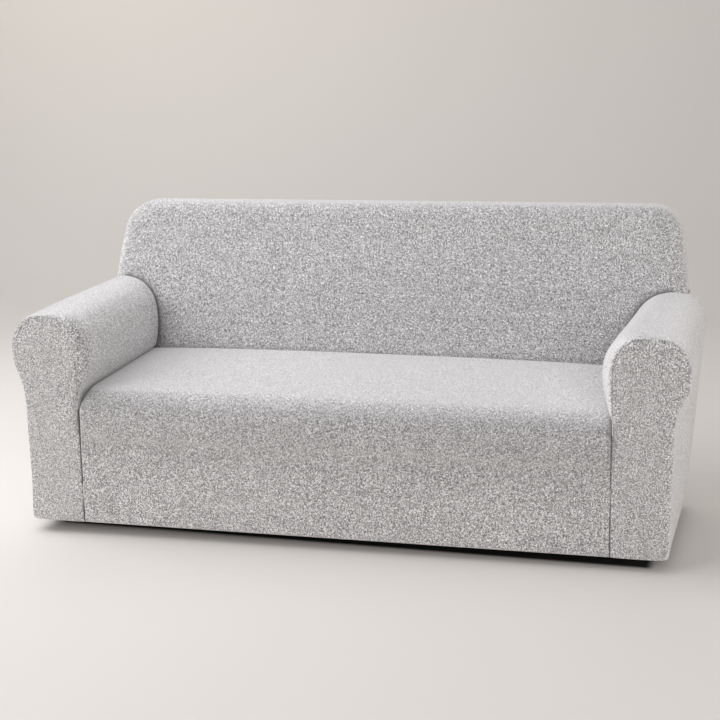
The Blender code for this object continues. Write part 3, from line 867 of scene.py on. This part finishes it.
facing = {
    "edge": 0.0004,           # it stops this far inside the outline
    "innerGap": 0.0002,
    "cornerInner": 0.075,     # its upper side lies between these places beside the roll's middle
    "cornerOuter": 0.086,
    "width": 0.19,
    "height": 0.60,
    "cell": 0.0045,
    "hemShare": 0.022,        # share of the rows' length that is the hem
    "dome": 0.003,
    "unevenness": 0.0007,
    "rippleStretch": 2.4,
    "calm": 0.03,
    "flat": (0.195, 0.60),
    "area": 0.092,
    # Heights between which the seat's bulge beside it begins and ends, and the roll's line too
    "bulgeBegins": (seat["bulgeFoot"] - 0.02, seat["bulgeFoot"] + 0.04),
    "bulgeEnds": (seat["height"] - 0.02, seat["height"]),
    "rollBegins": (seat["height"] - 0.02, seat["height"] - 0.01),
    "rollEnds": (arm["rollZ"] - 0.04, arm["rollZ"] - 0.01),
}


def makeFacing(side, name, node, material):
    # Flat panel between the seam's outline and the front, a little full in the middle
    line = fineOutline[:, :2]
    edge = line - outward(line) * facing["edge"]
    leftCorner = rollIndex(arm["rollX"] - facing["cornerInner"])
    rightCorner = rollIndex(arm["rollX"] + facing["cornerOuter"])
    lowZ = np.linspace(0, hem["height"], 7)
    lowZ = np.concatenate([lowZ, np.linspace(hem["height"], line[0, 1], 60)[1:-1]])
    low = together(arm["inner"] + facing["innerGap"], lowZ)
    share = facing["hemShare"]
    rows = np.concatenate([np.linspace(0, share, 7)[:-1], share + np.linspace(0, 1, 130) * (1 - share)])
    nearTop = 1 - np.array(cloth["seamSteps"][1:]) / facing["height"]
    rows = np.sort(np.concatenate([rows, nearTop]))
    columns = steps(facing["width"], facing["cell"]) / facing["width"]
    left = resample(np.vstack([low, edge[: leftCorner + 1]]), rows)
    right = resample(edge[rightCorner:][::-1], rows)
    top = resample(edge[leftCorner : rightCorner + 1], columns)
    bottom = blend((left[0], right[0]), columns[:, None])
    face = patch(bottom, top, left, right, columns, rows)
    x, z = face[..., 0], face[..., 1]
    u, v = columns[None], rows[:, None]
    dome = (1 - (2 * u - 1) ** 4) * (1 - np.clip(2 * v - 1, 0, 1) ** 6)
    inner = np.maximum(x - left[:, :1], 0)
    fromSide = np.minimum(inner, np.maximum(right[:, :1] - x, 0))
    distance = np.minimum(fromSide, np.linalg.norm(face - face[-1:], axis=2))
    y = -facing["dome"] * dome + cloth["pinchDepth"] * fall(distance, cloth["pinchWidth"])
    uneven = facing["unevenness"] * ripple(facing["rippleStretch"] * x * side, z, 8)
    points = together(x * side, y - uneven * ease(distance / facing["calm"]), z)

    # Painted shade: the dark seam line and the shade beside the seat's front, then the line beside the
    # roll
    bulge = rising(z, *facing["bulgeBegins"]) * (1 - rising(z, *facing["bulgeEnds"]))
    above = rising(z, *facing["rollBegins"])
    roll = above * (1 - rising(z, *facing["rollEnds"]))
    below = blend((shade["frontLowLine"], shade["frontLine"]), bulge) * (1 - above)
    paintedSeamShade = seamLine(inner) * (below + shade["rollLine"][side > 0] * roll)
    paintedHollowShade = shade["frontSide"] * np.exp(-inner / shade["frontSideWidth"]) * bulge
    inside = np.array([side, 1, 1]) * arm["inside"]
    panel(name, node, [(points, face, paintedSeamShade, paintedHollowShade)], inside, material)


def backHalfWidth(z):
    # The back narrows towards its top
    rise = np.clip((z - back["taperStart"]) / (back["top"] - back["taperStart"]), 0, 1)
    return back["halfWidth"] - back["taper"] * rise ** back["taperPower"]


def backCorner(inset, degrees):
    # Points on the arc of the back's top corner
    centreZ = back["top"] - back["corner"]
    centre = np.array([backHalfWidth(centreZ) - back["corner"], centreZ])
    angle = np.radians(degrees)
    return centre + (back["corner"] - inset) * together(np.cos(angle), np.sin(angle))


def backSide(footZ, inset, count=60):
    # Up the side and round the first half of its top corner
    z = np.linspace(footZ, back["top"] - back["corner"], count)
    side = together(backHalfWidth(z) - inset, z)
    return np.vstack([side, backCorner(inset, np.linspace(0, 45, 13)[1:])])


def backTop(inset):
    # Along the top from the middle of the left corner to that of the right one
    arc = backCorner(inset, np.linspace(90, 45, 13))
    flat = together(np.linspace(0, arc[0, 0], 100)[:-1], back["top"] - inset)
    return mirrored(np.vstack([flat, arc]))


def footHeight(x, section):
    # Height of the roll where the back's side meets it, at the junction or a few stations beyond
    top = section[rollIndex(arm["rollX"]) : junctionIndex + 8]
    return float(np.interp(x, top[:, 0], top[:, 1]))


def backRing(inset, section, u, underLap):
    # Outline of the back, from the right arm over the top to the left arm
    right = backSide(footHeight(back["halfWidth"] - inset, section) - underLap, inset)
    top = resample(backTop(inset), u)
    return np.vstack([right, top[-2:0:-1], (right * [-1, 1])[::-1]])


def makeInsideBack(material):
    edge, lap, bottomZ = back["frontEdge"], back["underLap"], back["tuckBottom"]
    section = rearSection()
    # Its lower side is tucked in behind the seat and along the arms
    under = section - outward(section) * lap
    rimX = back["halfWidth"] - edge
    first = int(np.argmax(under[:, 1] > bottomZ + back["tuckClear"]))
    last = int(np.argmax(under[:, 0] > rimX - back["rimClear"]))
    foot = footHeight(rimX, section) - lap
    arms = np.vstack([[[under[0, 0], bottomZ]], under[first:last], [[rimX, foot]]])
    arms[:, 0] = np.maximum(arms[:, 0], arm["inner"] + lap)
    seatRun = together(np.linspace(0, under[0, 0], 96)[:-1], bottomZ)
    bottom = mirrored(np.vstack([seatRun, arms]))
    right = backSide(foot, edge)
    u = shares(bottom)
    v = (right[:, 1] - foot) / (right[-1, 1] - foot)
    flat = patch(bottom, resample(backTop(edge), u), right * [-1, 1], right, u, v)
    x, z = flat[..., 0], flat[..., 1]
    calm = rising(z, *back["calmSeat"]) * ease((back["halfWidth"] - np.abs(x)) / back["calmSide"])
    uneven = back["unevenness"] * ripple(x, back["rippleStretch"] * z, 5) * calm
    face = together(x, backFront(x, z) - uneven, z)

    # Painted shade on the face beside the arms, more so further down, and a little above the seat
    crease = resample(section[: last + 1], np.linspace(0, 1, 500)).astype(np.float32)
    flatOne = together(np.abs(x), z).astype(np.float32)
    fromArm = np.min(np.linalg.norm(flatOne[:, :, None] - crease, axis=3), axis=2)
    lowPart = ease((arm["rollZ"] + arm["rollRise"] - z) / shade["backSideLow"])
    beside = shade["backSide"] * np.exp(-fromArm / blend(shade["backSideWidth"], lowPart))
    fromSeat = np.maximum(z - seat["height"] - shade["backFootStart"], 0)
    paintedHollowShade = layered(beside, shade["backFoot"] * np.exp(-fromSeat / shade["backFootWidth"]))

    # Round the soft front edge, over the side and the top, and round the rear edge to the seam
    rim = np.concatenate([face[:, -1], face[-1, -2:0:-1], face[::-1, 0]])
    rings = [rim]
    for turn in quarter(11)[1:]:
        ring = backRing(edge * (1 - math.sin(turn)), section, u, lap)
        lean = back["lean"] * (ring[:, 1] - rim[:, 2])
        rings.append(standing(ring, rim[:, 1] + lean + edge * (1 - math.cos(turn))))
    ring = backRing(0.0, section, u, -2 * cloth["gap"])
    ends = (rings[-1], standing(ring, backRear(ring[:, 1]) - back["rearEdge"]))
    rings += [blend(ends, share) for share in np.linspace(0, 1, 9)[1:-1]]
    for turn in quarter(10):
        # Its lower ends follow the sleeves, which turn down there along their normals
        inset = back["rearEdge"] * (1 - math.cos(turn))
        drop = inset / outward(section)[junctionIndex, 1]
        ring = backRing(inset, section, u, drop - 2 * cloth["gap"])
        rings.append(standing(ring, backRear(ring[:, 1]) - back["rearEdge"] * (1 - math.sin(turn))))
    wrap = np.array(rings)
    toRear = gridRuns(wrap[::-1])[::-1]
    wrapMap = together(lengths(rim), toRear)
    # Painted shade in the face's hollows, and a painted seam line at the rear of the wrap
    grids = [(face, flat, 0 * x, paintedHollowShade), (wrap, wrapMap, shade["rearLine"] * seamLine(toRear))]
    panel("insideBackKnit", "inside_back", grids, back["inside"], material)


def makeOutsideBack(material):
    # Leaning rear panel between the two rear seams, from the hem to the top
    line, _ = rearLine(sleeveEnd(rearSection()), 1.0, math.pi / 2)
    armEdge = (line - outward(line) * 2 * cloth["gap"])[junctionIndex:][::-1]
    inset = back["rearEdge"] + 3 * cloth["gap"]
    armEdge[-1, 0] = back["halfWidth"] - inset
    right = np.vstack([armEdge, backSide(armEdge[-1, 1], inset, 40)[1:]])
    left = right * [-1, 1]
    top = resample(backTop(inset), steps(back["rearTopRun"], back["rearCell"]) / back["rearTopRun"])
    u = shares(top)
    bottom = blend((left[0], right[0]), u[:, None])
    flat = patch(bottom, top, left, right, u, shares(right))
    x, z = flat[..., 0], flat[..., 1]
    seams = (flat[:, :1], flat[:, -1:], flat[-1:])
    distance = np.min([np.linalg.norm(flat - paintedSeamShade, axis=2) for paintedSeamShade in seams], axis=0)
    calm = ease(distance / back["rearCalmSide"]) * ease(z / back["rearCalmLow"])
    y = backRear(z) - cloth["pinchDepth"] * fall(distance, cloth["pinchWidth"])
    y = y + back["rearUnevenness"] * ripple(x, z, 9) * calm
    # Painted shade along the seams round the rear panel
    grids = [(together(x, y, z), flat, shade["rearLine"] * seamLine(distance))]
    panel("outsideBackKnit", "outside_back", grids, back["rearInside"], material)


studio = {
    "position": (1.196, -4.3998, 1.6102),   # from the arm fronts and the hem, as the panels
    "yaw": -0.2504,
    "pitch": 0.2339,
    "roll": -0.0175,
    "lens": 84.97,
    "shift": (0.0028, -0.0008),
    "floorDrop": 0.034,       # the sofa's feet hold the hem this far above the floor
    "floorWidth": 40.0,
    "floorFront": -14.0,
    "sweepRear": 2.4,         # where the floor begins to sweep up, and the radius of the sweep
    "sweep": 2.2,
    "wallTop": 14.0,
    "floorColour": (0.850, 0.818, 0.777, 1.0),
    "floorFade": 1.5,         # height up to which it changes into the wall's colour
    # Painted light: the wall's colours are paler than the floor and paler to the left
    "wallLeftPaintedLight": (0.900, 0.855, 0.800, 1.0),
    "wallRightPaintedLight": (0.880, 0.842, 0.793, 1.0),
    "wallRange": (-3.6, 1.0),
    "floorRoughness": 0.9,
    "floorSpecular": 0.1,
    "paintedShadowColour": (0.030, 0.029, 0.028, 1.0),   # painted shadow on the floor under the sofa
    "underFront": (0.050, 0.075),
    "underSlant": 0.030,      # the painted shadow begins further in to the left
    "underRear": (0.540, 0.580),
    "underSide": (0.860, 0.890),
    "air": (1.0, 0.99, 0.99, 1.0),
    "airStrength": 0.26,
    # Name, place, aim, size, watts, colour
    "lights": [
        ("High", (-1.6, -0.6, 3.4), (0.0, 0.3, 0.3), 3.5, 40.0, (0.98, 0.97, 1.0)),
        ("HighRear", (-2.0, 1.4, 3.0), (0.0, 0.3, 0.3), 2.0, 20.0, (0.95, 0.96, 1.0)),
        ("HighLeft", (-3.2, 0.4, 2.4), (0.0, 0.3, 0.4), 1.6, 34.0, (0.95, 0.96, 1.0)),
        ("LeftFront", (-3.0, -3.5, 2.2), (0.0, 0.3, 0.3), 2.5, 50.0, (1.0, 0.973, 0.979)),
        ("RightFront", (2.4, -4.5, 2.0), (0.0, 0.3, 0.3), 2.5, 64.0, (1.0, 0.978, 0.98)),
        ("RightLow", (3.2, 0.1, 0.45), (0.98, 0.3, 0.3), 0.9, 17.0, (1.0, 0.979, 0.979)),
        ("Wall", (-3.2, 2.5, 3.2), (-3.2, 4.6, 3.2), 2.5, 42.0, (1.0, 1.0, 0.99)),
        ("Rim", (0.0, 2.6, 2.4), (0.0, 0.3, 0.7), 2.5, 11.0, (0.98, 0.95, 1.0)),
    ],
}


def makeCamera():
    yaw, pitch, roll = studio["yaw"], studio["pitch"], studio["roll"]
    ahead = Vector((math.sin(yaw) * math.cos(pitch), math.cos(yaw) * math.cos(pitch), -math.sin(pitch)))
    level = Vector((math.cos(yaw), -math.sin(yaw), 0.0))
    upright = level.cross(ahead)
    right = level * math.cos(roll) + upright * math.sin(roll)
    up = -level * math.sin(roll) + upright * math.cos(roll)
    camera = bpy.data.objects.new("Camera", bpy.data.cameras.new("Camera"))
    camera.data.lens = studio["lens"]
    camera.data.sensor_width = 36.0
    camera.data.shift_x, camera.data.shift_y = studio["shift"]
    turn = Matrix((right, up, -ahead)).transposed().to_4x4()
    camera.matrix_world = Matrix.Translation(Vector(studio["position"]) + Vector(place)) @ turn
    bpy.context.scene.collection.objects.link(camera)
    bpy.context.scene.camera = camera


def floorMaterial(ground):
    material = bpy.data.materials.new("paleFloor")
    material.use_nodes = True
    tree = material.node_tree
    shader = tree.nodes["Principled BSDF"]
    across, depth, height = Wire(tree, tree.nodes.new("ShaderNodeTexCoord").outputs["Object"]).parts(3)
    # Painted light: the wall is painted paler than the floor, more so to the left
    wall = across.between(*studio["wallRange"]).mixColour(studio["wallLeftPaintedLight"], studio["wallRightPaintedLight"])
    fade = height.between(ground, ground + studio["floorFade"])
    tint = fade.mixColour(studio["floorColour"], wall)
    # Painted shadow: the floor under the sofa is painted dark
    inward = depth + across * studio["underSlant"] - place[1]
    under = inward.between(*studio["underFront"])
    under = under * (1.0 - (depth - place[1]).between(*studio["underRear"]))
    under = under * (1.0 - across.absolute().between(*studio["underSide"]))
    tint = under.mixColour(tint, studio["paintedShadowColour"])
    tree.links.new(tint.socket, shader.inputs["Base Color"])
    shader.inputs["Roughness"].default_value = studio["floorRoughness"]
    shader.inputs["Specular IOR Level"].default_value = studio["floorSpecular"]
    return material


def makeStudio():
    # Floor that sweeps up into a backdrop: a quarter circle between two planes
    ground, sweep, rear = place[2] - studio["floorDrop"], studio["sweep"], studio["sweepRear"]
    turn = quarter(25)
    y = np.concatenate([[studio["floorFront"]], rear + sweep * np.sin(turn), [rear + sweep]])
    z = ground + np.concatenate([[0.0], sweep * (1 - np.cos(turn)), [studio["wallTop"]]])
    x = np.array([-0.5, 0.5]) * studio["floorWidth"]
    points = together(x, y[:, None], z[:, None]).reshape(-1, 3)
    first = 2 * np.arange(len(y) - 1)[:, None]
    mesh = bpy.data.meshes.new("floor")
    mesh.from_pydata(points.tolist(), [], (first + np.array([[0, 1, 3, 2]])).tolist())
    mesh.shade_smooth()
    mesh.materials.append(floorMaterial(ground))
    floor = bpy.data.objects.new("floor", mesh)
    bpy.context.scene.collection.objects.link(floor)
    for name, spot, aim, size, watts, colour in studio["lights"]:
        lamp = bpy.data.lights.new(name, "AREA")
        lamp.shape = "DISK"
        lamp.size = size
        lamp.energy = watts
        lamp.color = colour
        holder = bpy.data.objects.new(name, lamp)
        holder.location = Vector(spot) + Vector(place)
        towards = Vector(aim) - Vector(spot)
        holder.rotation_euler = towards.to_track_quat("-Z", "Y").to_euler()
        bpy.context.scene.collection.objects.link(holder)
    world = bpy.data.worlds.new("Air")
    world.use_nodes = True
    air = world.node_tree.nodes["Background"]
    air.inputs["Color"].default_value = studio["air"]
    air.inputs["Strength"].default_value = studio["airStrength"]
    bpy.context.scene.world = world
    bpy.context.scene.view_settings.view_transform = "Standard"


makeCamera()
makeStudio()
print("studio made")
heather = knitMaterial("heatherKnit")
makeSeat(heather)
makeInsideBack(heather)
makeOutsideBack(heather)
for side, word in ((-1, "left"), (1, "right")):
    makeSleeve(side, f"{word}ArmSleeveKnit", f"arm_sleeve_{word}", heather)
    makeFacing(side, f"{word}ArmFrontKnit", f"arm_front_{word}", heather)
